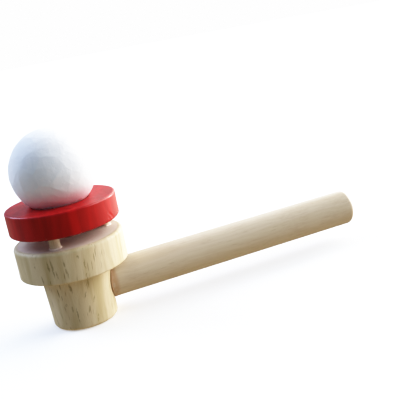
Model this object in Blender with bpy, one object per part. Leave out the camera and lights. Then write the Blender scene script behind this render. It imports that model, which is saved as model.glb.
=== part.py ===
"""Floating ball pipe toy: a turned wooden bowl on a bored stem, with a painted ring on pegs that holds a
light foam ball over the air jet. Lengths are in metres and +Z is up. The origin is the centre of the
bowl's flat foot, and the stem points along +X.
"""

import math

import bmesh
import bpy
from mathutils import Matrix, Vector

MM = 0.001

# Bowl: one turned piece, a tapered shank under a thick flange
FOOT_RADIUS = 13.5 * MM
NECK_RADIUS = 14.7 * MM
SHANK_HEIGHT = 23.7 * MM
FLANGE_RADIUS = 22.7 * MM
FLANGE_THICKNESS = 13.3 * MM
FOOT_ROUND = 1.5 * MM
FLANGE_TOP_ROUND = 1.5 * MM
FLANGE_UNDER_ROUND = 0.8 * MM

# Stem: a bored dowel, and the air way that it feeds
STEM_RADIUS = 8.0 * MM
STEM_LENGTH = 128.0 * MM
STEM_BORE_RADIUS = 3.0 * MM
STEM_RISE = 1.7 * MM
STEM_CHAMFER = 0.5 * MM
MOUTH_ROUND = 2.0 * MM
JET_RADIUS = 3.0 * MM
SOCKET_WALL = 1.7 * MM
DRILL_POINT_ANGLE = math.radians(118)

# Catch ring: painted wood, flat on top, with a round hole for the ball
RING_RADIUS = 22.8 * MM
RING_THICKNESS = 10.2 * MM
RING_HOLE_RADIUS = 12.0 * MM
RING_TOP_ROUND = 0.8 * MM
RING_UNDER_ROUND = 1.2 * MM
LIP_ROUND = 0.7 * MM

# Pegs: they carry the ring above the flange
PEG_RADIUS = 2.2 * MM
PEG_CHAMFER = 0.4 * MM
PEG_DEPTH_IN_FLANGE = 6.0 * MM
PEG_DEPTH_IN_RING = 5.0 * MM
AIR_GAP = 5.0 * MM
# How far out the pegs stand on the flat land that ring and flange share, from inside (0) to outside (1)
PEG_PLACE = 0.23
PEG_AZIMUTHS = {
    "peg_stem_side": math.radians(0),
    "peg_back": math.radians(120),
    "peg_front": math.radians(240),
}

# Ball: moulded foam, loose in the ring
BALL_RADIUS = 17.5 * MM

# Clearance between pieces that fit in, or rest on, one another
FIT_GAP = 0.3 * MM

# Facets: round the turned pieces, and along each rounded edge
TURNED_SEGMENTS = 72
STEM_SEGMENTS = 56
DRILLED_SEGMENTS = 32
PEG_SEGMENTS = 24
BALL_SEGMENTS = 48
ROUND_STEPS = 4
SMOOTH_ANGLE = math.radians(35)

# Places that follow from the sizes above
FLANGE_TOP = SHANK_HEIGHT + FLANGE_THICKNESS
RING_BOTTOM = FLANGE_TOP + AIR_GAP
RING_TOP = RING_BOTTOM + RING_THICKNESS
STEM_HEIGHT = SHANK_HEIGHT / 2 + STEM_RISE
SOCKET_RADIUS = STEM_RADIUS + FIT_GAP
SOCKET_FLOOR = JET_RADIUS + SOCKET_WALL
STEM_START = SOCKET_FLOOR + FIT_GAP
PEG_HOLE_RADIUS = PEG_RADIUS + FIT_GAP
LAND_INSIDE = RING_HOLE_RADIUS + LIP_ROUND
LAND_OUTSIDE = min(FLANGE_RADIUS - FLANGE_TOP_ROUND, RING_RADIUS - RING_UNDER_ROUND)
PEG_ROOM = LAND_OUTSIDE - LAND_INSIDE - 2 * PEG_HOLE_RADIUS
PEG_CIRCLE = LAND_INSIDE + PEG_HOLE_RADIUS + PEG_PLACE * PEG_ROOM
PEG_BOTTOM = FLANGE_TOP - PEG_DEPTH_IN_FLANGE + FIT_GAP
PEG_TOP = RING_BOTTOM + PEG_DEPTH_IN_RING - FIT_GAP

# The ball's centre is as far from the centre of the lip's round as both radii and the clearance reach
BALL_REACH = BALL_RADIUS + LIP_ROUND + FIT_GAP
BALL_CENTRE = RING_TOP - LIP_ROUND + math.sqrt(BALL_REACH**2 - (RING_HOLE_RADIUS + LIP_ROUND) ** 2)


def clear_scene():
    for old in list(bpy.data.objects):
        bpy.data.objects.remove(old, do_unlink=True)


def finish_material(name, colour, roughness):
    """A bare or painted surface: no metal, one colour and one roughness."""
    material = bpy.data.materials.new(name)
    material.use_nodes = True
    shader = material.node_tree.nodes["Principled BSDF"]
    shader.inputs["Base Color"].default_value = (*colour, 1.0)
    shader.inputs["Roughness"].default_value = roughness
    shader.inputs["Metallic"].default_value = 0.0
    return material


def corner_arc(before, corner, after, radius):
    """The points that round off one corner of a profile. The round never takes over half of either run."""
    towards_before = (before - corner).normalized()
    towards_after = (after - corner).normalized()
    half_angle = towards_before.angle(towards_after) / 2
    shorter_run = min((before - corner).length, (after - corner).length)
    reach = min(radius / math.tan(half_angle), shorter_run / 2)
    radius = reach * math.tan(half_angle)
    centre = corner + (towards_before + towards_after).normalized() * radius / math.sin(half_angle)
    start = corner + towards_before * reach - centre
    end = corner + towards_after * reach - centre
    start_angle = math.atan2(start.y, start.x)
    turn = math.remainder(math.atan2(end.y, end.x) - start_angle, math.tau)
    angles = [start_angle + turn * step / ROUND_STEPS for step in range(ROUND_STEPS + 1)]
    return [centre + radius * Vector((math.cos(angle), math.sin(angle))) for angle in angles]


def rounded_profile(corners, closed):
    """Profile points from corners given as (distance from the axis, height, radius of the round)."""
    places = [Vector((distance, height)) for distance, height, _ in corners]
    points = []
    for index, (place, (_, _, radius)) in enumerate(zip(places, corners)):
        at_an_end = not closed and index in (0, len(corners) - 1)
        if radius and not at_an_end:
            after = places[(index + 1) % len(places)]
            points += corner_arc(places[index - 1], place, after, radius)
        else:
            points.append(place)
    return points


def flatten_ends(bm):
    """Makes each flat end one face, where the turning left a fan of triangles round the axis."""
    on_axis = [vert for vert in bm.verts if vert.co.xy.length < FIT_GAP / 100]
    for vert in on_axis:
        normals = [face.normal for face in vert.link_faces]
        if all(normal.dot(normals[0]) > 0.999 for normal in normals):
            bmesh.ops.dissolve_verts(bm, verts=[vert])


def turned(name, corners, segments, closed=False):
    """An object turned about its own Z axis. An open profile starts and ends on the axis."""
    bm = bmesh.new()
    row = [bm.verts.new((point.x, 0.0, point.y)) for point in rounded_profile(corners, closed)]
    edges = [bm.edges.new(pair) for pair in zip(row, row[1:])]
    if closed:
        edges.append(bm.edges.new((row[-1], row[0])))
    bmesh.ops.spin(
        bm,
        geom=row + edges,
        cent=(0, 0, 0),
        axis=(0, 0, 1),
        angle=math.tau,
        steps=segments,
        use_merge=True,
    )
    bmesh.ops.remove_doubles(bm, verts=bm.verts[:], dist=FIT_GAP / 1000)
    bmesh.ops.recalc_face_normals(bm, faces=bm.faces[:])
    flatten_ends(bm)
    mesh = bpy.data.meshes.new(name)
    bm.to_mesh(mesh)
    bm.free()
    return added(name, mesh)


def added(name, mesh):
    thing = bpy.data.objects.new(name, mesh)
    bpy.context.collection.objects.link(thing)
    return thing


def drill_bit(name, radius, depth, clear, point=0.0):
    """A cutter that comes down its own Z axis: its bottom is at -depth, and it stands out by clear on top."""
    corners = [
        (0, -depth - point, 0),
        (radius, -depth, 0),
        (radius, clear, 0),
        (0, clear, 0),
    ]
    bit = turned(name, corners, DRILLED_SEGMENTS)
    bit.hide_render = True
    bit.display_type = "WIRE"
    return bit


def cut_out(body, bits):
    """Cuts the bits out of the body, keeps the carved mesh and clears the bits away."""
    for bit in bits:
        cut = body.modifiers.new(bit.name, "BOOLEAN")
        cut.operation = "DIFFERENCE"
        cut.solver = "EXACT"
        cut.object = bit
    bpy.context.view_layer.update()
    graph = bpy.context.evaluated_depsgraph_get()
    carved = bpy.data.meshes.new_from_object(body.evaluated_get(graph))
    body.modifiers.clear()
    body.data = carved
    for bit in bits:
        bpy.data.objects.remove(bit, do_unlink=True)


def dress(body, material):
    """One material, smooth rounds, and flat faces that keep their own normals."""
    body.data.materials.clear()
    body.data.materials.append(material)
    body.data.shade_smooth()
    body.data.set_sharp_from_angle(angle=SMOOTH_ANGLE)
    weighted = body.modifiers.new("flat_faces_lead", "WEIGHTED_NORMAL")
    weighted.keep_sharp = True


def on_peg_circle(azimuth, height):
    """The place of a peg or of its hole at this height. Its X axis points away from the bowl's axis."""
    return Matrix.Rotation(azimuth, 4, "Z") @ Matrix.Translation((PEG_CIRCLE, 0, height))


def peg_hole_bits(height, depth, upside_down=False):
    """One bit for each peg hole, entering a face at this height from above, or from below.

    A facet of the bit faces the bowl's axis, so that none of its corners meets an edge of a turned face.
    """
    facing = Matrix.Rotation(math.pi, 4, "X") if upside_down else Matrix.Identity(4)
    half_a_facet = Matrix.Rotation(math.pi / DRILLED_SEGMENTS, 4, "Z")
    bits = []
    for name, azimuth in PEG_AZIMUTHS.items():
        bit = drill_bit(f"{name}_hole", PEG_HOLE_RADIUS, depth, FIT_GAP)
        bit.matrix_world = on_peg_circle(azimuth, height) @ facing @ half_a_facet
        bits.append(bit)
    return bits


def stem_axis():
    """Turns a piece's own Z axis to point along the stem, with its origin on the bowl's axis."""
    return Matrix.Translation((0, 0, STEM_HEIGHT)) @ Matrix.Rotation(math.pi / 2, 4, "Y")


def make_bowl():
    corners = [
        (0, 0, 0),
        (FOOT_RADIUS, 0, FOOT_ROUND),
        (NECK_RADIUS, SHANK_HEIGHT, 0),
        (FLANGE_RADIUS, SHANK_HEIGHT, FLANGE_UNDER_ROUND),
        (FLANGE_RADIUS, FLANGE_TOP, FLANGE_TOP_ROUND),
        (0, FLANGE_TOP, 0),
    ]
    bowl = turned("bowl", corners, TURNED_SEGMENTS)

    # The socket is cut from outside the flange inwards, and the air hole goes on to the bowl's axis
    socket = drill_bit("socket", SOCKET_RADIUS, -SOCKET_FLOOR, FLANGE_RADIUS + FIT_GAP)
    socket.matrix_world = stem_axis()
    air_hole = drill_bit("air_hole", STEM_BORE_RADIUS, 0, STEM_START)
    air_hole.matrix_world = stem_axis()

    # The jet channel comes down from the flange's top to meet the air hole, and ends in a drill point
    jet_depth = FLANGE_TOP - STEM_HEIGHT + STEM_BORE_RADIUS
    jet_point = JET_RADIUS / math.tan(DRILL_POINT_ANGLE / 2)
    jet = drill_bit("jet_channel", JET_RADIUS, jet_depth, FIT_GAP, jet_point)
    jet.matrix_world = Matrix.Translation((0, 0, FLANGE_TOP))

    holes = peg_hole_bits(FLANGE_TOP, PEG_DEPTH_IN_FLANGE)
    cut_out(bowl, [socket, air_hole, jet, *holes])
    dress(bowl, finish_material("bowl_wood", (0.78, 0.66, 0.46), 0.55))
    return bowl


def make_stem():
    """A tube: its inner end is chamfered to enter the socket, and its mouth end is well rounded."""
    corners = [
        (STEM_RADIUS, 0, STEM_CHAMFER),
        (STEM_RADIUS, STEM_LENGTH, MOUTH_ROUND),
        (STEM_BORE_RADIUS, STEM_LENGTH, STEM_CHAMFER),
        (STEM_BORE_RADIUS, 0, 0),
    ]
    stem = turned("stem", corners, STEM_SEGMENTS, closed=True)
    stem.matrix_world = stem_axis() @ Matrix.Translation((0, 0, STEM_START))
    dress(stem, finish_material("stem_wood", (0.82, 0.69, 0.50), 0.5))
    return stem


def make_catch_ring():
    """The ring's origin is on its underside, where the pegs enter."""
    corners = [
        (RING_RADIUS, 0, RING_UNDER_ROUND),
        (RING_RADIUS, RING_THICKNESS, RING_TOP_ROUND),
        (RING_HOLE_RADIUS, RING_THICKNESS, LIP_ROUND),
        (RING_HOLE_RADIUS, 0, LIP_ROUND),
    ]
    ring = turned("catch_ring", corners, TURNED_SEGMENTS, closed=True)
    cut_out(ring, peg_hole_bits(0, PEG_DEPTH_IN_RING, upside_down=True))
    ring.location = (0, 0, RING_BOTTOM)
    dress(ring, finish_material("red_paint", (0.62, 0.02, 0.025), 0.3))
    return ring


def make_pegs():
    """Alike pegs that share one mesh, each with its own object."""
    length = PEG_TOP - PEG_BOTTOM
    corners = [
        (0, 0, 0),
        (PEG_RADIUS, 0, PEG_CHAMFER),
        (PEG_RADIUS, length, PEG_CHAMFER),
        (0, length, 0),
    ]
    material = finish_material("peg_wood", (0.80, 0.66, 0.45), 0.6)
    pegs = []
    for name, azimuth in PEG_AZIMUTHS.items():
        peg = added(name, pegs[0].data) if pegs else turned(name, corners, PEG_SEGMENTS)
        peg.matrix_world = on_peg_circle(azimuth, PEG_BOTTOM)
        dress(peg, material)
        pegs.append(peg)
    return pegs


def make_ball():
    """The loose ball, with its origin at its centre, on the axis that it lifts along."""
    bm = bmesh.new()
    bmesh.ops.create_uvsphere(
        bm,
        u_segments=BALL_SEGMENTS,
        v_segments=BALL_SEGMENTS // 2,
        radius=BALL_RADIUS,
    )
    mesh = bpy.data.meshes.new("foam_ball")
    bm.to_mesh(mesh)
    bm.free()
    ball = added("foam_ball", mesh)
    ball.location = (0, 0, BALL_CENTRE)
    dress(ball, finish_material("white_foam", (0.90, 0.90, 0.91), 0.85))
    return ball


def main():
    clear_scene()
    toy = added("toy", None)
    for piece in [make_bowl(), make_stem(), make_catch_ring(), *make_pegs(), make_ball()]:
        piece.parent = toy


main()
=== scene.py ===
# %% [markdown]
# # A floating ball pipe toy, dressed for its picture
#
# The toy is a small wooden pipe. Breath goes in at the stem's end, turns upwards inside the bowl
# and comes out as a jet in the middle of the flange. A red ring on three pegs holds a light foam
# ball over the jet. The solid frame of the toy is loaded first. Each solid is then replaced by a
# finer piece in the same place, with the small rounds, gaps, glue and grain that the plain solids
# don't carry.

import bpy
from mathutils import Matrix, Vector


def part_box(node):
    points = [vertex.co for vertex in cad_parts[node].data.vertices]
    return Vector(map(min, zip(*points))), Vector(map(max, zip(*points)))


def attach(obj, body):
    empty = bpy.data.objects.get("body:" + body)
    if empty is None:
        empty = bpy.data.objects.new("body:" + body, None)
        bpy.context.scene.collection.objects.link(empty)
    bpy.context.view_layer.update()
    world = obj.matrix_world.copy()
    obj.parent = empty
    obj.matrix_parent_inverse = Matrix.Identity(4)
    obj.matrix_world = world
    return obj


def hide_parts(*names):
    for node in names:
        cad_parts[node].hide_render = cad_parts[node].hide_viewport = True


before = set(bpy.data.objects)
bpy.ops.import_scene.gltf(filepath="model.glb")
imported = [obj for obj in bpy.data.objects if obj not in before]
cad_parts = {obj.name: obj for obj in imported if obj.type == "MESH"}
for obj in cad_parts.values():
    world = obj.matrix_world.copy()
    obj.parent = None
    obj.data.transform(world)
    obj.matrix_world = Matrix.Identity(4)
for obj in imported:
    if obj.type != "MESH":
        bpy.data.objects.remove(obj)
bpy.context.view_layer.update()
print("solids:", sorted(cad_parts))

# %% Tools that the other cells use
import math

import bmesh
import bpy
from mathutils import Matrix, Vector, noise

MM = 0.001


def in_mm(vector):
    return [round(value / MM, 2) for value in vector]


# %% [markdown]
# ## Sizes
#
# The outer sizes are read from the solids, so that the finer pieces always match them. Only what
# a box can't tell, such as a round's radius or where the shank ends, is given here.

# %% Sizes that come from the solids
bowl_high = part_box("bowl")[1]
stem_low, stem_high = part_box("stem")
ring_low, ring_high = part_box("catch_ring")
ball_low, ball_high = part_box("foam_ball")
peg_low, peg_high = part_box("peg_stem_side")

FLANGE_RADIUS = bowl_high.x
FLANGE_TOP = bowl_high.z
RING_RADIUS = ring_high.x
RING_BOTTOM = ring_low.z
RING_TOP = ring_high.z
STEM_RADIUS = (stem_high.z - stem_low.z) / 2
STEM_HEIGHT = (stem_high.z + stem_low.z) / 2
PEG_RADIUS = (peg_high.x - peg_low.x) / 2
BALL_RADIUS = (ball_high.z - ball_low.z) / 2
BALL_CENTRE = (ball_low + ball_high) / 2
print("flange and ring radius:", in_mm((FLANGE_RADIUS, RING_RADIUS)))
print("stem, peg and ball radius:", in_mm((STEM_RADIUS, PEG_RADIUS, BALL_RADIUS)))

# %% Sizes that a box can't tell
FOOT_RADIUS = 13.5 * MM
NECK_RADIUS = 14.7 * MM
SHANK_HEIGHT = 23.7 * MM
FOOT_ROUND = 1.5 * MM
FLANGE_TOP_ROUND = 1.5 * MM
FLANGE_UNDER_ROUND = 0.8 * MM
STEM_CHAMFER = 0.5 * MM
MOUTH_ROUND = 2.0 * MM
RING_HOLE_RADIUS = 12.0 * MM
RING_TOP_ROUND = 0.8 * MM
RING_UNDER_ROUND = 1.2 * MM
BORE_RADIUS = 3.0 * MM
SOCKET_FLOOR = 4.7 * MM
FIT_GAP = 0.3 * MM
PEG_AZIMUTHS = {"stem_side": 0, "back": 120, "front": 240}

# %% [markdown]
# ## How a turned piece is made
#
# The bowl, the ring, the stem and the pegs all come off a lathe, and a lathe part is a profile
# that goes round an axis. A few corner points are joined to a line, each corner is rounded with a
# vertex bevel, the long runs are subdivided, and one full spin makes the surface. A stack of
# cylinders could give the same outline, but its joints would show and its edges would stay
# knife-sharp.

# %% A profile line
CORNER_SEGMENTS = 6


def profile_line(bm, corners, closed):
    """Edges through the corners: each is (distance from the axis, height, radius of its round)."""
    verts = [bm.verts.new((distance, 0, height)) for distance, height, _ in corners]
    for pair in zip(verts, verts[1:]):
        bm.edges.new(pair)
    if closed:
        bm.edges.new((verts[-1], verts[0]))
    for vert, (_, _, radius) in zip(verts, corners):
        if radius:
            bmesh.ops.bevel(
                bm,
                geom=[vert],
                offset=radius,
                offset_type="OFFSET",
                segments=CORNER_SEGMENTS,
                profile=0.5,
                affect="VERTICES",
                material=-1,
            )


def split_long_edges(bm, longest):
    """Cuts long edges of the line in equal pieces, so that the surface can be a little uneven."""
    for edge in bm.edges[:]:
        cuts = math.ceil(edge.calc_length() / longest) - 1
        if cuts > 0:
            bmesh.ops.subdivide_edges(bm, edges=[edge], cuts=cuts)


# %% A full spin
SAME_POINT = 0.001 * MM
X_AXIS = (1, 0, 0)
Z_AXIS = (0, 0, 1)


def spin_round(bm, axis, steps):
    """Spins the bmesh once round an axis through the origin, and closes the surface."""
    bmesh.ops.spin(
        bm,
        geom=bm.verts[:] + bm.edges[:],
        cent=(0, 0, 0),
        axis=axis,
        angle=math.tau,
        steps=steps,
        use_merge=True,
    )
    bmesh.ops.remove_doubles(bm, verts=bm.verts[:], dist=SAME_POINT)
    bmesh.ops.recalc_face_normals(bm, faces=bm.faces[:])


def spun(corners, steps, longest=math.inf, closed=False):
    """A bmesh turned round the Z axis from a profile, with no edge of it over the longest."""
    bm = bmesh.new()
    profile_line(bm, corners, closed)
    split_long_edges(bm, longest)
    spin_round(bm, Z_AXIS, steps)
    return bm


# %% [markdown]
# Each finished bmesh becomes an object that stands at the origin, with its place in its mesh. It is
# shaded smooth up to an angle, and a Weighted Normal modifier keeps its flat faces looking flat
# beside the rounds. Then it rides on one of the toy's two bodies: the pipe, or the loose ball.

# %% From a bmesh to a piece
SMOOTH_ANGLE = math.radians(40)


def as_object(name, bm, place=Matrix.Identity(4)):
    """A new object whose place is in its mesh."""
    bm.transform(place)
    mesh = bpy.data.meshes.new(name)
    bm.to_mesh(mesh)
    bm.free()
    piece = bpy.data.objects.new(name, mesh)
    bpy.context.collection.objects.link(piece)
    return piece


def finished(piece, material, body, nodes=()):
    """Shades a piece, gives it its material and lets it ride on its body."""
    piece.data.materials.clear()
    piece.data.materials.append(material)
    piece.data.shade_smooth()
    piece.data.set_sharp_from_angle(angle=SMOOTH_ANGLE)
    even = piece.modifiers.new("flat_faces_lead", "WEIGHTED_NORMAL")
    even.keep_sharp = True
    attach(piece, body)
    if nodes:
        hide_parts(*nodes)
    print(piece.name, "has", len(piece.data.polygons), "faces and rides on", body)


# %% [markdown]
# Real wood is never quite round. A slow, smooth noise moves each point a few hundredths of a
# millimetre inwards along its normal, as sandpaper does, so no point ever leaves the outline of
# the solid. The noise is a fixed function of the place, so it gives the same shape on each run.

# %% Hand-made unevenness


def uneven(bm, depth, size, seed=0.0):
    """Moves the surface inwards by up to depth, in swells about as wide as size."""
    bm.normal_update()
    shift = Vector((seed, 0, 0))
    moves = [
        vert.normal * depth * (noise.noise(vert.co / size + shift) - 1) / 2 for vert in bm.verts
    ]
    for vert, move in zip(bm.verts, moves):
        vert.co += move


# %% [markdown]
# Holes are cut with an exact Boolean. The cutters are turned pieces as well, and a cutter's mouth
# can flare where the drill's edge was broken. After the cut they are removed, and only the carved
# mesh stays.

# %% Cutting holes
PROUD = 0.3 * MM
DRILL_STEPS = 48


def carved(piece, cutters):
    """Takes the cutters' shapes out of a piece, and removes the cutters."""
    for cutter in cutters:
        cut = piece.modifiers.new(cutter.name, "BOOLEAN")
        cut.operation = "DIFFERENCE"
        cut.solver = "EXACT"
        cut.object = cutter
    bpy.context.view_layer.update()
    graph = bpy.context.evaluated_depsgraph_get()
    mesh = bpy.data.meshes.new_from_object(piece.evaluated_get(graph))
    piece.modifiers.clear()
    piece.data = mesh
    for cutter in cutters:
        bpy.data.objects.remove(cutter, do_unlink=True)


def drill(name, radius, bottom, top, place=Matrix.Identity(4), flare=0.0):
    """A cutter on its own Z axis that widens by flare just below top, and stands proud of it."""
    corners = [
        (0, bottom, 0),
        (radius, bottom, 0),
        (radius, top - flare, 0),
        (radius + flare, top, 0),
        (radius + flare, top + PROUD, 0),
        (0, top + PROUD, 0),
    ]
    return as_object(name, spun(corners, DRILL_STEPS), place)


# %% [markdown]
# ## Materials
#
# A material here is a small graph of nodes that all read Object coordinates, in millimetres. The
# pattern is then solid, as in real wood: it runs over an edge from the side to the end without a
# seam. A few short helpers keep the graphs readable.

# %% Helpers for node graphs


def put(tree, socket, value):
    """Sets a socket to a number or a colour, or links it to another node's output."""
    if isinstance(value, bpy.types.NodeSocket):
        tree.links.new(value, socket)
    elif isinstance(value, tuple) and len(value) == 3 and socket.type == "RGBA":
        socket.default_value = (*value, 1.0)
    else:
        socket.default_value = value


def node(tree, kind, inputs, **settings):
    """A new node with its settings. The inputs are given by their names or their numbers."""
    made = tree.nodes.new(kind)
    for name, value in settings.items():
        setattr(made, name, value)
    for key, value in inputs.items():
        put(tree, made.inputs[key], value)
    return made


# %% Sums with values and vectors


def maths(tree, operation, *values):
    inputs = dict(enumerate(values))
    return node(tree, "ShaderNodeMath", inputs, operation=operation).outputs[0]


def vector_maths(tree, operation, *values, output="Vector"):
    inputs = dict(enumerate(values))
    return node(tree, "ShaderNodeVectorMath", inputs, operation=operation).outputs[output]


def scaled(tree, value, factor):
    return maths(tree, "MULTIPLY", value, factor)


def smooth_step(tree, value, low, high):
    """0 at low, 1 at high, and a soft change between. Low may be the larger of the two."""
    inputs = {"Value": value, "From Min": low, "From Max": high}
    made = node(tree, "ShaderNodeMapRange", inputs, interpolation_type="SMOOTHSTEP")
    return made.outputs[0]


# %% [markdown]
# A Mix node has a set of sockets for each kind of value. They share their names, so the ones for
# colour are picked by their numbers.

# %% Blending two colours
MIX_SHARE, MIX_FIRST, MIX_SECOND = 0, 6, 7
MIX_RESULT = 2


def blended(tree, share, first, second, blend="MIX"):
    """The first colour, with the second one laid over it by a share from 0 to 1."""
    inputs = {MIX_SHARE: share, MIX_FIRST: first, MIX_SECOND: second}
    made = node(tree, "ShaderNodeMix", inputs, data_type="RGBA", blend_type=blend)
    return made.outputs[MIX_RESULT]


# %% Places and noise in millimetres


def coordinates(tree, scale, turn=(0, 0, 0), shift=(0, 0, 0)):
    """Object coordinates, moved and turned, then stretched. A scale of 1 gives millimetres."""
    source = tree.nodes.new("ShaderNodeTexCoord").outputs["Object"]
    inputs = {"Vector": source, "Rotation": turn, "Location": shift}
    turned = node(tree, "ShaderNodeMapping", inputs).outputs[0]
    return vector_maths(tree, "MULTIPLY", turned, tuple(value / MM for value in scale))


def split_coordinates(tree, height=0.0):
    """X, Y and Z in mm, from the point at this height on the bowl's axis."""
    place = coordinates(tree, (1, 1, 1), shift=(0, 0, -height))
    return node(tree, "ShaderNodeSeparateXYZ", {0: place}).outputs


def distance_of(tree, across, up):
    """How far a point is from an axis, from its two coordinates at right angles to it."""
    squares = maths(tree, "ADD", scaled(tree, across, across), scaled(tree, up, up))
    return maths(tree, "SQRT", squares)


def noise_of(tree, vector, detail, roughness=0.5):
    inputs = {"Vector": vector, "Scale": 1.0, "Detail": detail, "Roughness": roughness}
    return node(tree, "ShaderNodeTexNoise", inputs).outputs["Fac"]


def noise_in_mm(tree, scale, detail, roughness=0.5):
    """Noise on the piece itself. A scale of 0.5 gives swells of about 2 mm."""
    return noise_of(tree, coordinates(tree, scale), detail, roughness)


# %% A new material


def shader_of(material):
    return material.node_tree.nodes["Principled BSDF"]


def new_material(name):
    material = bpy.data.materials.new(name)
    material.use_nodes = True
    return material, material.node_tree, shader_of(material)


def bump(tree, height, depth):
    inputs = {"Height": height, "Strength": 1.0, "Distance": depth}
    return node(tree, "ShaderNodeBump", inputs).outputs[0]


def settle(shader, values):
    """Sets the sockets whose value is the same all over the surface."""
    for name, value in values.items():
        shader.inputs[name].default_value = value


def tell(material):
    print(material.name, "has", len(material.node_tree.nodes), "nodes")


# %% [markdown]
# ### Bare wood
#
# The bowl is a pale hardwood with open pores: short brown dashes that follow the grain. The graph
# has four layers. Growth rings are the distance from a pith line outside the piece. Wide bands
# are darker and more olive. Fibres are fine stripes. Pores are the middles of stretched cells,
# and they crowd in some stripes and stay away from others. All of them read a place that sways
# slowly from side to side along the grain, because no tree grows straight. On end grain the same
# graph shows arcs and dots, with nothing added for it.

# %% The place in the grain
ALONG_Z = (math.radians(2), math.radians(-3), 0)
ALONG_X = (0, math.radians(-90), 0)
SWAY = 2.2
SWAY_SCALE = (0.11, 0.11, 0.06)


def times(tree, vector, scale):
    return vector_maths(tree, "MULTIPLY", vector, scale)


def in_the_grain(tree, grain):
    """Millimetres across and along the grain, whose lines sway by up to about a millimetre."""
    straight = coordinates(tree, (1, 1, 1), grain)
    inputs = {"Vector": times(tree, straight, SWAY_SCALE), "Scale": 1.0, "Detail": 1.0}
    slow = node(tree, "ShaderNodeTexNoise", inputs).outputs["Color"]
    return vector_maths(tree, "MULTIPLY_ADD", slow, (SWAY, SWAY, 0), straight)


def stripes(tree, place, width, length, low, high):
    """Soft stripes along the grain, about width by length in mm: 0 at low noise and 1 at high."""
    made = noise_of(tree, times(tree, place, (1 / width, 1 / width, 1 / length)), 3)
    return smooth_step(tree, made, low, high)


# %% Growth rings and pores
RING_WAVE = 1.2
PORE_CELLS = (1.15, 1.15, 0.12)


def growth_rings(tree, place, bands, pith, width):
    """Rings round the pith line: each darkens slowly to its late wood, then starts pale again."""
    offset = vector_maths(tree, "SUBTRACT", place, (*pith, 0))
    far = vector_maths(tree, "LENGTH", times(tree, offset, (1, 1, 0)), output="Value")
    wavy = maths(tree, "MULTIPLY_ADD", bands, RING_WAVE, far)
    phase = maths(tree, "FRACT", maths(tree, "DIVIDE", wavy, width))
    rise = smooth_step(tree, phase, 0.2, 0.9)
    return maths(tree, "MULTIPLY", rise, smooth_step(tree, phase, 1.0, 0.93))


def open_pores(tree, place):
    """The middles of cells that are stretched along the grain, in the stripes where they crowd."""
    inputs = {"Vector": times(tree, place, PORE_CELLS), "Scale": 1.0}
    cells = node(tree, "ShaderNodeTexVoronoi", inputs).outputs["Distance"]
    middle = smooth_step(tree, cells, 0.34, 0.12)
    return maths(tree, "MULTIPLY", middle, stripes(tree, place, 3.0, 14, 0.45, 0.60))


# %% The wood's graph
LATE_WOOD_SHARE = 0.20
BAND_SHARE = 0.65
FIBRE_SHARE = 0.20
PORE_SHARE = 0.55
WOOD_RELIEF = 0.05 * MM


def wood(name, pale, deep, band, pore, grain, pith, ring_width, pores, rough):
    """Bare wood. Pores says how much the pores show, from 0 to 1, and rough how dull it is."""
    material, tree, shader = new_material(name)
    place = in_the_grain(tree, grain)
    bands = stripes(tree, place, 5, 60, 0.40, 0.66)
    fibres = stripes(tree, place, 0.35, 8, 0.30, 0.75)
    late = growth_rings(tree, place, bands, pith, ring_width)
    open_pore = open_pores(tree, place)

    colour = blended(tree, scaled(tree, late, LATE_WOOD_SHARE), pale, deep)
    colour = blended(tree, scaled(tree, bands, BAND_SHARE), colour, band)
    colour = blended(tree, scaled(tree, fibres, FIBRE_SHARE), colour, deep)
    colour = blended(tree, scaled(tree, open_pore, PORE_SHARE * pores), colour, pore)
    put(tree, shader.inputs["Base Color"], colour)

    put(tree, shader.inputs["Roughness"], maths(tree, "MULTIPLY_ADD", fibres, 0.15, rough))
    height = maths(tree, "SUBTRACT", scaled(tree, fibres, 0.3), scaled(tree, open_pore, pores))
    put(tree, shader.inputs["Normal"], bump(tree, height, WOOD_RELIEF))
    settle(shader, {"Specular IOR Level": 0.35})
    tell(material)
    return material


# %% The three woods
bowl_wood = wood(
    "bowl_wood_finish",
    pale=(0.68, 0.59, 0.425),
    deep=(0.51, 0.395, 0.24),
    band=(0.455, 0.375, 0.205),
    pore=(0.24, 0.17, 0.08),
    grain=ALONG_Z,
    pith=(70, 45),
    ring_width=2.6,
    pores=1.0,
    rough=0.5,
)
# The stem's wood is darker than the bowl's: partly its own tone, partly painted shade for a shadow
# along the stem
stem_wood = wood(
    "stem_wood_finish",
    pale=(0.60, 0.515, 0.39),
    deep=(0.50, 0.405, 0.285),
    band=(0.53, 0.44, 0.305),
    pore=(0.34, 0.25, 0.15),
    grain=ALONG_X,
    pith=(-30, 22),
    ring_width=1.7,
    pores=0.4,
    rough=0.45,
)
peg_wood = wood(
    "peg_wood_finish",
    pale=(0.70, 0.60, 0.46),
    deep=(0.54, 0.42, 0.28),
    band=(0.60, 0.50, 0.35),
    pore=(0.30, 0.21, 0.12),
    grain=ALONG_Z,
    pith=(9, -21),
    ring_width=0.9,
    pores=0.4,
    rough=0.6,
)

# %% [markdown]
# Where the stem enters the shank, the wood turns a warm brown. The brown depends on the
# distance from the joint, and a noise breaks its edge.

# %% Warm brown round the joint
WARM_BROWN = (0.46, 0.29, 0.17)
STEM_WALL = STEM_RADIUS / MM
SHANK_WALL = NECK_RADIUS / MM


def tinted(material, reach, colour, strength, patchy=True):
    """Lays a colour over the wood. Reach makes the node value that is 1 in it and 0 outside."""
    tree = material.node_tree
    base = shader_of(material).inputs["Base Color"]
    clean = base.links[0].from_socket
    share = scaled(tree, reach(tree), strength)
    if patchy:
        patches = noise_in_mm(tree, (0.5, 0.5, 0.25), 3)
        share = maths(tree, "MULTIPLY", share, smooth_step(tree, patches, 0.25, 0.6))
    put(tree, base, blended(tree, share, clean, colour))


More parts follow.
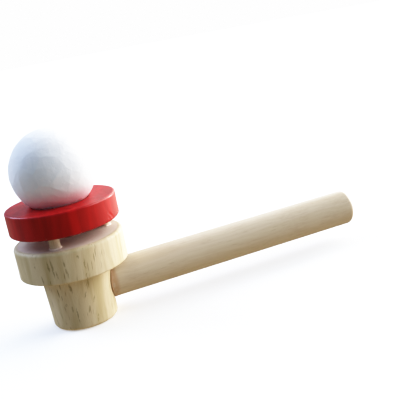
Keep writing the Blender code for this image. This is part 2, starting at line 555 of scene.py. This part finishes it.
def round_the_socket(tree):
    x, y, z = split_coordinates(tree, STEM_HEIGHT)
    near = smooth_step(tree, distance_of(tree, y, z), STEM_WALL + 2.6, STEM_WALL + 0.3)
    return maths(tree, "MULTIPLY", near, smooth_step(tree, x, 5, 9))


def at_the_root(tree):
    x = split_coordinates(tree)["X"]
    return smooth_step(tree, x, SHANK_WALL + 1.4, SHANK_WALL - 1.0)


tinted(bowl_wood, round_the_socket, WARM_BROWN, strength=0.2)
tinted(stem_wood, at_the_root, WARM_BROWN, strength=0.7)

# %% [markdown]
# The stem is the handle, so skin oil has darkened it in soft, uneven clouds. Wide swells say
# where, and a finer noise breaks them up into specks about a millimetre wide and three long.

# %% A handled stem
SKIN_OIL = (0.42, 0.31, 0.21)


def clouds_of_soil(tree):
    wide = smooth_step(tree, noise_in_mm(tree, (0.08, 0.08, 0.08), 2), 0.40, 0.62)
    specks = smooth_step(tree, noise_in_mm(tree, (0.35, 1.3, 1.3), 3, 0.6), 0.30, 0.70)
    return maths(tree, "MULTIPLY", wide, specks)


tinted(stem_wood, clouds_of_soil, SKIN_OIL, strength=0.22, patchy=False)

# %% [markdown]
# The flange's top is end grain. Sanding closed it with fine dust, so it looks duller and greyer
# than the side. Its slight pink is painted red light, bounced down from the ring above. Its
# rounded edge is a deeper olive.

# %% Sanded end grain
# Grey of sanding dust, with a slight pink that is painted red bounce light from the ring
DUST_GREY_BOUNCE_PINK = (0.68, 0.61, 0.53)
DEEPER_EDGE_OLIVE = (0.46, 0.38, 0.22)
RIM = FLANGE_RADIUS / MM
TOP = FLANGE_TOP / MM


def on_the_flange(tree):
    x, y, z = split_coordinates(tree)
    inside = smooth_step(tree, distance_of(tree, x, y), RIM - 1.0, RIM - 2.6)
    return maths(tree, "MULTIPLY", inside, smooth_step(tree, z, TOP - 1.0, TOP - 0.5))


def round_the_edge(tree):
    return smooth_step(tree, split_coordinates(tree)["Z"], TOP - 1.6, TOP - 0.6)


# The rounded edge is laid a deeper olive
tinted(bowl_wood, round_the_edge, DEEPER_EDGE_OLIVE, strength=0.45)
# The pink in this tint is painted red bounce light from the ring above
tinted(bowl_wood, on_the_flange, DUST_GREY_BOUNCE_PINK, strength=0.8, patchy=False)

# %% The dust is dull, too
DUST_DULLNESS = 0.3
tree = bowl_wood.node_tree
roughness = shader_of(bowl_wood).inputs["Roughness"]
clean = roughness.links[0].from_socket
put(tree, roughness, maths(tree, "MULTIPLY_ADD", on_the_flange(tree), DUST_DULLNESS, clean))

# %% [markdown]
# A few pores are much longer and wider than the rest, as where a borer or a mineral streak crossed
# the block. They are set one by one, each with its azimuth and height in the middle, its length,
# its width and its lean, in degrees and millimetres. The lean is the degrees by which its azimuth
# falls for each millimetre up.

# %% Long dark pores: where they are
LONG_PORES = [
    (-108.5, 30.0, 9.5, 1.1, 0.25),
    (-121.4, 31.0, 9.5, 1.2, 0.1),
    (-125.5, 31.5, 6.0, 0.8, 0.2),
    (-135.0, 26.3, 4.5, 0.9, 0.1),
    (-140.8, 32.4, 2.8, 0.8, 0.0),
    (-118.1, 28.0, 4.0, 0.8, 0.3),
    (-89.3, 30.1, 5.5, 0.8, -0.1),
    (-94.6, 33.6, 1.8, 0.8, 0.0),
    (-89.9, 25.2, 3.4, 0.9, 0.0),
    (-114.3, 18.8, 5.5, 1.3, 0.4),
    (-137.8, 17.0, 4.2, 0.8, 0.0),
    (-129.0, 11.8, 1.8, 1.3, 0.0),
    (-119.6, 9.8, 3.5, 0.9, 0.0),
    (-93.2, 15.0, 3.4, 0.9, -1.5),
    (-91.7, 8.4, 4.0, 0.9, -0.9),
    (-80.5, 12.1, 3.4, 0.8, -1.2),
    (-80.1, 3.6, 4.2, 0.9, -0.5),
    (-85.0, 19.2, 4.5, 0.9, -0.1),
    (-113.0, 6.8, 9.0, 0.9, 0.1),
]
print("the bowl has", len(LONG_PORES), "long pores")

# %% [markdown]
# A point's way to a pore's middle is measured in half widths across and in half lengths along, so
# each pore is a round spot of size 1 that only looks long. One noise lets the pores wander from
# side to side, and another breaks them up, as real ones are.

# %% Long dark pores: the pattern
PORE_BROWN = (0.22, 0.17, 0.08)
WANDER = 3.0


def long_pores(tree):
    """1 in the middle of a pore and 0 outside it."""
    x, y, z = split_coordinates(tree)
    azimuth = scaled(tree, maths(tree, "ARCTAN2", y, x), math.degrees(1))
    swells = noise_in_mm(tree, (0.5, 0.5, 0.3), 3)
    wandering = maths(tree, "MULTIPLY_ADD", swells, WANDER, azimuth)
    everywhere = 0.0
    for middle, height, length, width, lean in LONG_PORES:
        radius = FLANGE_RADIUS if height * MM > SHANK_HEIGHT else NECK_RADIUS
        one_degree = math.radians(1) * radius / MM
        rise = maths(tree, "SUBTRACT", z, height)
        aside = maths(tree, "SUBTRACT", wandering, middle + WANDER / 2)
        leaning = maths(tree, "MULTIPLY_ADD", rise, lean, aside)
        across = scaled(tree, leaning, one_degree / (width / 2))
        along = scaled(tree, rise, 2 / length)
        far = maths(tree, "MULTIPLY_ADD", across, across, scaled(tree, along, along))
        everywhere = maths(tree, "MAXIMUM", everywhere, smooth_step(tree, far, 1.0, 0.1))
    breaks = smooth_step(tree, noise_in_mm(tree, (1.4, 1.4, 0.7), 3), 0.34, 0.54)
    return maths(tree, "MULTIPLY", everywhere, breaks)


tinted(bowl_wood, long_pores, PORE_BROWN, strength=0.52, patchy=False)
tell(bowl_wood)

# %% [markdown]
# ### Red paint
#
# The ring wears one even, brushed coat of red, deeper where the brush left more. A soft coat gives
# the broad sheen of old gloss paint. At the lower edge a few chips show the pale wood.

# %% Red paint: the colour
THIN_RED = (0.34, 0.004, 0.004)
THICK_RED = (0.45, 0.008, 0.008)
CHIPPED_WOOD = (0.72, 0.48, 0.36)
LOW_EDGE = RING_BOTTOM / MM

red_paint, tree, shader = new_material("red_paint_finish")
strokes = stripes(tree, coordinates(tree, (1, 1, 1)), 3.5, 30, 0.35, 0.70)
red = blended(tree, strokes, THIN_RED, THICK_RED)
near_edge = smooth_step(tree, split_coordinates(tree)["Z"], LOW_EDGE + 2.4, LOW_EDGE + 0.6)
chips = smooth_step(tree, noise_in_mm(tree, (1.0, 1.0, 1.6), 3, 0.6), 0.70, 0.73)
chip = maths(tree, "MULTIPLY", chips, near_edge)
put(tree, shader.inputs["Base Color"], blended(tree, chip, red, CHIPPED_WOOD))

# %% Red paint: the sheen
BRUSH_TILT = (0.2, 0.15, 0)
PAINT_RELIEF = 0.06 * MM

drag = noise_of(tree, coordinates(tree, (1.2, 1.2, 0.10), BRUSH_TILT), 3)
put(tree, shader.inputs["Roughness"], maths(tree, "MULTIPLY_ADD", drag, 0.15, 0.38))
height = maths(tree, "SUBTRACT", scaled(tree, drag, 0.4), chip)
put(tree, shader.inputs["Normal"], bump(tree, height, PAINT_RELIEF))
settle(shader, {"Specular IOR Level": 0.2, "Coat Weight": 0.45, "Coat Roughness": 0.22})
tell(red_paint)

# %% [markdown]
# ### Moulded foam
#
# The ball is steamed together from foam beads of about 3 mm. Their shape is in the mesh, and the
# material adds a slight change of white from bead to bead and the fine dull skin. Light goes a few
# millimetres into foam before it comes out again, which softens the edge of the shade, so a share
# of the surface scatters below it. The ball's lower side has a faint pink all over it, which is
# painted red light, as the ring's paint throws it up. A broken red line where the ball sits on the
# lip is painted red bounce light in the shade there. That line's height below the ball's middle
# follows from the radius of the ball and of the ring's hole.

# %% Moulded foam: the colour
PALE_BEAD = (0.80, 0.815, 0.84)
WHITE_BEAD = (0.83, 0.84, 0.86)
# Painted red bounce light from the ring: a pink for the lower side and a deeper red at the lip
PAINTED_BOUNCE_PINK = (0.86, 0.46, 0.48)
PAINTED_LIP_RED = (0.78, 0.12, 0.13)
LIP_HEIGHT = -math.sqrt(BALL_RADIUS**2 - RING_HOLE_RADIUS**2) / MM

white_foam, tree, shader = new_material("white_foam_finish")
inputs = {"Vector": coordinates(tree, (0.33, 0.33, 0.33)), "Scale": 1.0}
beads = node(tree, "ShaderNodeTexVoronoi", inputs).outputs["Color"]
shade = node(tree, "ShaderNodeSeparateColor", {0: beads}).outputs[0]
white = blended(tree, shade, PALE_BEAD, WHITE_BEAD)
z = split_coordinates(tree, BALL_CENTRE.z)["Z"]
# Painted red bounce light on the ball's lower side
painted_pink_share = scaled(tree, smooth_step(tree, z, -5, -12), 0.42)
white = blended(tree, painted_pink_share, white, PAINTED_BOUNCE_PINK)
# Painted red bounce light in the shade where the ball sits on the lip, broken into patches
from_the_lip = maths(tree, "ABSOLUTE", maths(tree, "SUBTRACT", z, LIP_HEIGHT))
lip_patches = smooth_step(tree, noise_in_mm(tree, (0.3, 0.3, 0.6), 4, 0.6), 0.38, 0.66)
line = maths(tree, "MULTIPLY", smooth_step(tree, from_the_lip, 1.8, 0.2), lip_patches)
white = blended(tree, scaled(tree, line, 0.6), white, PAINTED_LIP_RED)
put(tree, shader.inputs["Base Color"], white)

# %% Moulded foam: the skin
SKIN_RELIEF = 0.02 * MM
LIGHT_DEPTH = 3.0 * MM

skin = noise_in_mm(tree, (2.5, 2.5, 2.5), 4, 0.6)
put(tree, shader.inputs["Roughness"], maths(tree, "MULTIPLY_ADD", skin, 0.3, 0.6))
put(tree, shader.inputs["Normal"], bump(tree, skin, SKIN_RELIEF))
settle(
    shader,
    {
        "Specular IOR Level": 0.3,
        "Subsurface Weight": 0.7,
        "Subsurface Radius": (1.0, 1.0, 1.0),
        "Subsurface Scale": LIGHT_DEPTH,
    },
)
tell(white_foam)

# %% [markdown]
# ### Wood glue
#
# Wood glue dries to a pale, shiny drop where it stands thick, as at the pegs. The thin bead round
# the stem is a dark brown. Its height tells one from the other.

# %% Wood glue
THIN_GLUE = (0.86, 0.74, 0.62)
THICK_GLUE = (0.93, 0.85, 0.76)
DARK_BROWN_GLUE = (0.36, 0.22, 0.12)

wood_glue, tree, shader = new_material("wood_glue_finish")
runs = noise_in_mm(tree, (0.8, 0.8, 0.8), 3)
drop = blended(tree, smooth_step(tree, runs, 0.3, 0.7), THIN_GLUE, THICK_GLUE)
root = smooth_step(tree, split_coordinates(tree)["Z"], TOP - 5, TOP - 6)
put(tree, shader.inputs["Base Color"], blended(tree, root, drop, DARK_BROWN_GLUE))
put(tree, shader.inputs["Roughness"], maths(tree, "MULTIPLY_ADD", runs, 0.2, 0.35))
tell(wood_glue)

# %% [markdown]
# ## The bowl
#
# Shank and flange are one turned block: dark pores run from one into the other. The shank tapers a
# little to the foot, and all edges were softened with sandpaper. The profile is spun, and the
# socket, the air way and the peg holes are cut out of it.

# %% Bowl: the turned block
NECK_HOLLOW = 0.35 * MM
bowl_corners = [
    (0, 0, 0),
    (FOOT_RADIUS, 0, FOOT_ROUND),
    (NECK_RADIUS, SHANK_HEIGHT, NECK_HOLLOW),
    (FLANGE_RADIUS, SHANK_HEIGHT, FLANGE_UNDER_ROUND),
    (FLANGE_RADIUS, FLANGE_TOP, FLANGE_TOP_ROUND),
    (0, FLANGE_TOP, 0),
]
bowl_mesh = spun(bowl_corners, steps=144, longest=1.6 * MM)
uneven(bowl_mesh, depth=0.12 * MM, size=9 * MM)
bowl = as_object("bowl_turned", bowl_mesh)

# %% [markdown]
# The stem enters a round shank, so the line where they meet is a saddle. A thin torus that is bent
# on to the shank has just that shape. Here it breaks the socket's edge, and later it also makes
# the glue bead. Its middle lies just outside the socket's wall, because two cutters whose surfaces
# only touch may be cut a little differently on each run.

# %% Bowl: the saddle where the stem enters
SOCKET_RADIUS = STEM_RADIUS + FIT_GAP
EDGE_BREAK = 0.35 * MM
OUTSIDE = 0.03 * MM


def shank_radius(height):
    return FOOT_RADIUS + (NECK_RADIUS - FOOT_RADIUS) * height / SHANK_HEIGHT


def torus(centre, thickness, axis, steps):
    """A small circle that stands in the XZ plane, spun once round an axis."""
    bm = bmesh.new()
    facing = Matrix.Translation(centre) @ Matrix.Rotation(math.pi / 2, 4, "X")
    bmesh.ops.create_circle(bm, cap_ends=False, segments=12, radius=thickness, matrix=facing)
    spin_round(bm, axis, steps)
    return bm


def saddle(radius, thickness, lift=0.0):
    """A torus round the stem's axis, with each point carried out along X to the shank."""
    bm = torus((0, 0, radius), thickness, X_AXIS, steps=96)
    for vert in bm.verts:
        shank = shank_radius(STEM_HEIGHT + vert.co.z)
        vert.co.x += math.sqrt(shank**2 - vert.co.y**2) + lift
        vert.co.z += STEM_HEIGHT
    return bm


socket_edge = as_object("socket_edge", saddle(SOCKET_RADIUS + OUTSIDE, EDGE_BREAK))

# %% [markdown]
# The stem's socket goes in from the side, and the air hole goes on from its floor to the middle.
# There it meets the jet channel, which comes down from the flange's top. The two cross clearly:
# the air hole is a little thinner and reaches past the channel's axis, and the channel goes a
# little deeper than the hole.

# %% Bowl: the socket and the air way
OVERLAP = 0.2 * MM
JET_FLARE = 0.4 * MM
along_stem = Matrix.Translation((0, 0, STEM_HEIGHT)) @ Matrix.Rotation(math.pi / 2, 4, "Y")
socket = drill("socket", SOCKET_RADIUS, SOCKET_FLOOR, FLANGE_RADIUS, along_stem)
air_hole = drill("air_hole", BORE_RADIUS - OVERLAP / 2, -OVERLAP, stem_low.x, along_stem)
jet_bottom = STEM_HEIGHT - BORE_RADIUS - OVERLAP
jet = drill("jet_channel", BORE_RADIUS, jet_bottom, FLANGE_TOP, flare=JET_FLARE)

# %% Bowl: the peg holes
PEG_CIRCLE = (peg_low.x + peg_high.x) / 2
PEG_HOLE_RADIUS = PEG_RADIUS + FIT_GAP


def peg_place(azimuth, height):
    out = Matrix.Translation((PEG_CIRCLE, 0, height))
    return Matrix.Rotation(math.radians(azimuth), 4, "Z") @ out


def peg_drills(start, depth, height, turn=Matrix.Identity(4)):
    """One cutter for each peg, from a face at this height into the wood."""
    return [
        drill(f"{start}_{name}", PEG_HOLE_RADIUS, -depth, 0, peg_place(azimuth, height) @ turn)
        for name, azimuth in PEG_AZIMUTHS.items()
    ]


flange_holes = peg_drills("flange_hole", FLANGE_TOP - peg_low.z + FIT_GAP, FLANGE_TOP)
carved(bowl, [socket_edge, socket, air_hole, jet, *flange_holes])
finished(bowl, bowl_wood, "pipe", ["bowl"])

# %% [markdown]
# ## The stem
#
# The stem is a bored dowel. Its mouth end is well rounded for the lips. It is spun upright, then
# turned to lie along X at its height in the shank.

# %% Stem
stem_length = stem_high.x - stem_low.x
stem_corners = [
    (STEM_RADIUS, 0, STEM_CHAMFER),
    (STEM_RADIUS, stem_length, MOUTH_ROUND),
    (BORE_RADIUS, stem_length, STEM_CHAMFER),
    (BORE_RADIUS, 0, 0),
]
stem_mesh = spun(stem_corners, steps=96, longest=2.5 * MM, closed=True)
stem = as_object("stem_dowel", stem_mesh, along_stem @ Matrix.Translation((0, 0, stem_low.x)))
finished(stem, stem_wood, "pipe", ["stem"])

# %% [markdown]
# ## The catch ring
#
# The ring is a thick slice of turned wood, flat on top, with broken edges. The ball sits in the
# lip of its hole, and a roll of paint on the lip nearly closes the gap. The paint also makes the
# surface a little lumpy.

# %% Catch ring: the turned slice
PAINT_ROLL = 0.12 * MM
LIP_ROUND = 0.6 * MM
ring_height = RING_TOP - RING_BOTTOM
ring_corners = [
    (RING_RADIUS, 0, RING_UNDER_ROUND),
    (RING_RADIUS, ring_height, RING_TOP_ROUND),
    (RING_HOLE_RADIUS - PAINT_ROLL, ring_height, LIP_ROUND),
    (RING_HOLE_RADIUS - PAINT_ROLL, 0, LIP_ROUND),
]
ring_mesh = spun(ring_corners, steps=288, longest=0.6 * MM, closed=True)
uneven(ring_mesh, depth=0.08 * MM, size=7 * MM, seed=7)
uneven(ring_mesh, depth=0.03 * MM, size=2 * MM, seed=3)

# %% [markdown]
# The ring has been knocked. On the stem's side, near the lower edge, a short groove and a dent next
# to it went into the wood before it was painted. Each point near the groove's line is moved a
# little inwards.

# %% Catch ring: the knocks in its side
KNOCK_WIDTH = 0.6 * MM


def grooved(bm, start, end, depth):
    """Presses a groove into the ring's side. Its ends are (azimuth in degrees, height)."""
    first, last = [
        Matrix.Rotation(math.radians(azimuth), 3, "Z") @ Vector((RING_RADIUS, 0, height))
        for azimuth, height in (start, end)
    ]
    for vert in bm.verts:
        share = (vert.co - first).dot(last - first) / (last - first).length_squared
        nearest = first.lerp(last, min(1.0, max(0.0, share)))
        near = max(0.0, 1.0 - (vert.co - nearest).length / KNOCK_WIDTH)
        vert.co.xy *= 1.0 - depth * near / RING_RADIUS


grooved(ring_mesh, (-48, 3.7 * MM), (-42, 1.3 * MM), depth=0.22 * MM)
grooved(ring_mesh, (-50, 2.3 * MM), (-48, 1.2 * MM), depth=0.18 * MM)
ring = as_object("ring_painted", ring_mesh, Matrix.Translation((0, 0, RING_BOTTOM)))

# %% Catch ring: the peg holes
upside_down = Matrix.Rotation(math.pi, 4, "X")
ring_hole_depth = peg_high.z - RING_BOTTOM + FIT_GAP
carved(ring, peg_drills("ring_hole", ring_hole_depth, RING_BOTTOM, upside_down))
finished(ring, red_paint, "pipe", ["catch_ring"])

# %% [markdown]
# ## The pegs and their glue
#
# Three short dowels carry the ring. Each has a dried drop of glue round its foot, bigger on one
# side, where it ran. The drop is a torus that is half sunk in the flange, and noise makes it
# uneven.

# %% Pegs
PEG_CHAMFER = 0.4 * MM
peg_length = peg_high.z - peg_low.z
peg_corners = [
    (0, 0, 0),
    (PEG_RADIUS, 0, PEG_CHAMFER),
    (PEG_RADIUS, peg_length, PEG_CHAMFER),
    (0, peg_length, 0),
]
for name, azimuth in PEG_AZIMUTHS.items():
    peg_mesh = spun(peg_corners, steps=40, longest=0.8 * MM)
    uneven(peg_mesh, depth=0.06 * MM, size=1.5 * MM, seed=azimuth)
    peg = as_object(f"peg_{name}_dowel", peg_mesh, peg_place(azimuth, peg_low.z))
    finished(peg, peg_wood, "pipe", [f"peg_{name}"])

# %% Glue drops at the pegs' feet
DROP_THICKNESS = 0.5 * MM
for name, azimuth in PEG_AZIMUTHS.items():
    drop_mesh = torus((PEG_RADIUS + FIT_GAP / 2, 0, 0), DROP_THICKNESS, Z_AXIS, steps=48)
    uneven(drop_mesh, depth=0.35 * MM, size=1.6 * MM, seed=azimuth + 1)
    drop = as_object(f"peg_{name}_glue", drop_mesh, peg_place(azimuth, FLANGE_TOP))
    finished(drop, wood_glue, "pipe")

# %% [markdown]
# A bead of the same glue was squeezed out where the stem enters the bowl. It stays in the corner,
# and a thin dark line shows beside it.

# %% Glue at the stem's root
ROOT_GLUE_THICKNESS = 0.3 * MM
root_glue_mesh = saddle(STEM_RADIUS + 0.05 * MM, ROOT_GLUE_THICKNESS, lift=0.25 * MM)
uneven(root_glue_mesh, depth=0.25 * MM, size=2.5 * MM, seed=5)
root_glue = as_object("stem_glue", root_glue_mesh)
finished(root_glue, wood_glue, "pipe")

# %% [markdown]
# ## The foam ball
#
# A foam ball is a ball of beads, pressed together by the mould. This one is worn smooth. Wide, soft
# flats show where it was gripped and dropped, and of the beads only faint seams and a few tiny pits
# are left. A round mesh of small even triangles carries this best, so it starts from an icosphere.
# Flats, seams and pits all come from cell noise: a point's distances to the nearest cell centres
# tell how near an edge it is. The widths of seams and pits are in bead sizes, and all depths are in
# millimetres.

# %% Foam ball: what wear and the mould left
BEAD_SIZE = 3.0 * MM
WIDE_FLAT = 8.5 * MM
SMALL_FLAT = 4.5 * MM
SEAM_WIDTH = 0.25
PIT_WIDTH = 0.10
WIDE_DEPTH = 0.16
SMALL_DEPTH = 0.05
SEAM_DEPTH = 0.009
PIT_DEPTH = 0.08


def flatness(place, size):
    """1 in the middle of a flat and 0 on the soft ridge between two of them."""
    cells = noise.voronoi(place / size)[0]
    return 1.0 - (cells[0] / cells[1]) ** 2


def wear(place):
    """How deep a point lies below the round ball, in mm."""
    beads = noise.voronoi(place / BEAD_SIZE)[0]
    seam = max(0.0, 1.0 - (beads[1] - beads[0]) / SEAM_WIDTH)
    pit = max(0.0, 1.0 - (beads[2] - beads[0]) / PIT_WIDTH)
    flats = WIDE_DEPTH * flatness(place, WIDE_FLAT) + SMALL_DEPTH * flatness(place, SMALL_FLAT)
    return SEAM_DEPTH * seam**2 + PIT_DEPTH * pit**2 + flats


# %% Foam ball: the mesh
ball_mesh = bmesh.new()
bmesh.ops.create_icosphere(ball_mesh, subdivisions=7, radius=BALL_RADIUS)
for vert in ball_mesh.verts:
    vert.co -= vert.co.normalized() * (wear(vert.co) * MM)
ball = as_object("foam_ball_beads", ball_mesh, Matrix.Translation(BALL_CENTRE))
finished(ball, white_foam, "ball", ["foam_ball"])

# %% [markdown]
# ## Floor, light and camera
#
# The floor is a plain pale sheet with a faint glow of its own. It takes the toy's shadow, but it
# sends no light back up, so the shaded side isn't washed out: in the sky's lower half a dim, warm
# glow stands in for a room instead.

# %% Floor
FLOOR_RADIUS = 4.0
FLOOR_GLOW = 0.1
floor_mesh = bmesh.new()
bmesh.ops.create_circle(floor_mesh, cap_ends=True, segments=96, radius=FLOOR_RADIUS)
floor = as_object("floor", floor_mesh)
material, tree, shader = new_material("floor_finish")
grey = noise_in_mm(tree, (0.01, 0.01, 0.01), 3)
pale = blended(tree, grey, (0.93, 0.93, 0.93), (0.95, 0.95, 0.94))
put(tree, shader.inputs["Base Color"], pale)
settle(shader, {"Roughness": 0.9, "Emission Color": (1, 1, 1, 1), "Emission Strength": FLOOR_GLOW})
floor.data.materials.append(material)
floor.visible_diffuse = False
floor.visible_glossy = False
tell(material)

# %% [markdown]
# Three soft lights stand far away. The big one is on the stem's side, as a window would be. A low
# one beside it reaches into the gap under the ring, and a blue one behind draws the left edge. Each
# is a sun lamp, because that lights the whole floor evenly. It has its azimuth, its elevation and
# how wide it looks, in degrees, and then its strength and its colour.

# %% Light


def direction_to(azimuth, elevation):
    side, rise = math.radians(azimuth), math.radians(elevation)
    out = math.cos(rise)
    return Vector((math.cos(side) * out, math.sin(side) * out, math.sin(rise)))


def soft_light(name, azimuth, elevation, spread, strength, colour):
    """A far light that comes from this direction. Its spread is how wide it looks."""
    lamp = bpy.data.lights.new(name, "SUN")
    lamp.angle = math.radians(spread)
    lamp.energy = strength
    lamp.color = colour
    made = bpy.data.objects.new(name, lamp)
    bpy.context.collection.objects.link(made)
    aim = (-direction_to(azimuth, elevation)).to_track_quat("-Z", "Y")
    made.rotation_euler = aim.to_euler()
    print(name, "stands at azimuth", azimuth, "and elevation", elevation)


soft_light("key_light", -16, 30, 40, 1.85, (0.99, 0.985, 1.0))
soft_light("side_light", 20, 7, 22, 1.7, (1.0, 0.99, 0.98))
soft_light("rim_light", 132, 36, 34, 1.9, (0.65, 0.75, 1.0))

# %% [markdown]
# The sky is cool above and warm below, with soft glows in it, as bright walls and windows would
# make. Each has its azimuth, its elevation, how far it reaches and its colour. On the stem's side
# a wide white one at the height of the toy gives the wood its sheen, and two small ones behind it
# draw the ring's upper edge and the light on its top. One from below warms the undersides, and a
# blue one lightens the left edges. Where no toy or floor is in the way, the camera sees plain
# white.

# %% Sky
WARM_BELOW = (0.31, 0.26, 0.175)
COOL_ABOVE = (0.26, 0.315, 0.39)
PLAIN_WHITE = (1.0, 1.0, 1.0)
HORIZON = 0.15
FULL_GLOW = 0.95
SKY_STRENGTH = 0.93
GLOWS = [
    (15, 0, 63, (0.78, 0.77, 0.75)),
    (38, 30, 38, (1.8, 1.7, 1.55)),
    (54, 13, 33, (0.36, 0.32, 0.26)),
    (-20, -35, 63, (0.48, 0.42, 0.36)),
    (148, -12, 50, (0.11, 0.14, 0.20)),
]

world = bpy.data.worlds.new("studio_sky")
bpy.context.scene.world = world
world.use_nodes = True
tree = world.node_tree
sky = tree.nodes["Background"]
direction = tree.nodes.new("ShaderNodeTexCoord").outputs["Generated"]
height = node(tree, "ShaderNodeSeparateXYZ", {0: direction}).outputs["Z"]
glow = blended(tree, smooth_step(tree, height, -HORIZON, HORIZON), WARM_BELOW, COOL_ABOVE)
for azimuth, elevation, reach, colour in GLOWS:
    towards = tuple(direction_to(azimuth, elevation))
    dot = vector_maths(tree, "DOT_PRODUCT", direction, towards, output="Value")
    near = smooth_step(tree, dot, math.cos(math.radians(reach)), FULL_GLOW)
    glow = blended(tree, near, glow, colour, "ADD")
seen = tree.nodes.new("ShaderNodeLightPath").outputs["Is Camera Ray"]
put(tree, sky.inputs["Color"], blended(tree, seen, glow, PLAIN_WHITE))
sky.inputs["Strength"].default_value = SKY_STRENGTH
print("the sky has", len(GLOWS), "glows")

# %% [markdown]
# The camera looks down on the toy by 14 degrees, from azimuth -110. Its place, its three
# directions and its lens were fitted to the edges of the ball, the ring, the bowl and the stem in
# the picture.

# %% Camera
LENS = 65.32
SENSOR_WIDTH = 36.0
NEAREST = 0.01
CAMERA_PLACE = (-0.04698, -0.29122, 0.11485)
RIGHT = Vector((0.90735, -0.38133, -0.17692))
DOWN = Vector((-0.25463, -0.16372, -0.95308))
FORWARD = Vector((0.33447, 0.90983, -0.24565))

camera = bpy.data.objects.new("camera", bpy.data.cameras.new("camera"))
bpy.context.collection.objects.link(camera)
camera.data.lens = LENS
camera.data.sensor_width = SENSOR_WIDTH
camera.data.clip_start = NEAREST
aim = Matrix((RIGHT, -DOWN, -FORWARD)).transposed().to_4x4()
camera.matrix_world = Matrix.Translation(CAMERA_PLACE) @ aim
bpy.context.scene.camera = camera
print("camera at, in mm:", in_mm(camera.matrix_world.translation))

# %% [markdown]
# A phone's picture deepens the shade and rolls the highlights off softly. A tone curve does the
# same here: it is an S, and each colour channel goes through it on its own, so shaded paint also
# gets redder.

# %% Tone curve
STEEPNESS = 1.49
LIFT = 0.37
ALL_CHANNELS = 3
CURVE_POINTS = (0.05, 0.1, 0.2, 0.3, 0.45, 0.6, 0.8)


def toned(value):
    rise = value**STEEPNESS
    return rise / (rise + LIFT * (1 - value) ** STEEPNESS)


view = bpy.context.scene.view_settings
view.view_transform = "Standard"
view.look = "None"
view.use_curve_mapping = True
curve = view.curve_mapping.curves[ALL_CHANNELS]
for value in CURVE_POINTS:
    curve.points.new(value, toned(value))
view.curve_mapping.update()
print("tone curve at 0.1, 0.3 and 0.6:", [round(toned(value), 2) for value in (0.1, 0.3, 0.6)])
